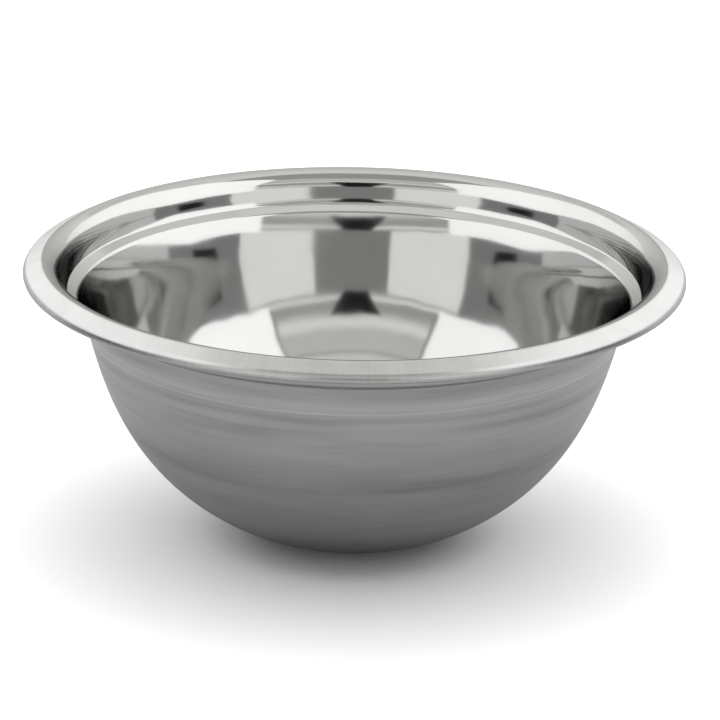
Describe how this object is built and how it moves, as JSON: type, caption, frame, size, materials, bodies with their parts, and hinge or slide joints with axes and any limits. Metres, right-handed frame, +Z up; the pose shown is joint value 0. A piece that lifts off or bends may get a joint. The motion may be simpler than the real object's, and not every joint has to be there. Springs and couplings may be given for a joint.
{
  "type": "mixing bowl",
  "caption": "Stainless steel mixing bowl with a flat base, round wall, step under a leaning neck, and a sloping rim with a rolled-under edge.",
  "frame": {"origin": "centre of the flat base's underside, where the bowl stands", "axes": "+Z up along the bowl's axis of revolution; X and Y are equivalent"},
  "size_m": [0.26, 0.26, 0.113],
  "materials": {
    "polished_steel": "mirror polished inside, fine spun satin outside",
    "satin_steel": "satin, brushed across the rim"
  },
  "bodies": {
    "root": {"base_disc": "polished_steel", "lower_wall": "polished_steel", "middle_wall": "polished_steel", "upper_wall": "polished_steel", "flare_band": "polished_steel", "step_ring": "polished_steel", "neck_band": "polished_steel", "rim_lip": "polished_steel", "rim_flange": "satin_steel", "rolled_edge": "satin_steel"}
  },
  "joints": []
}
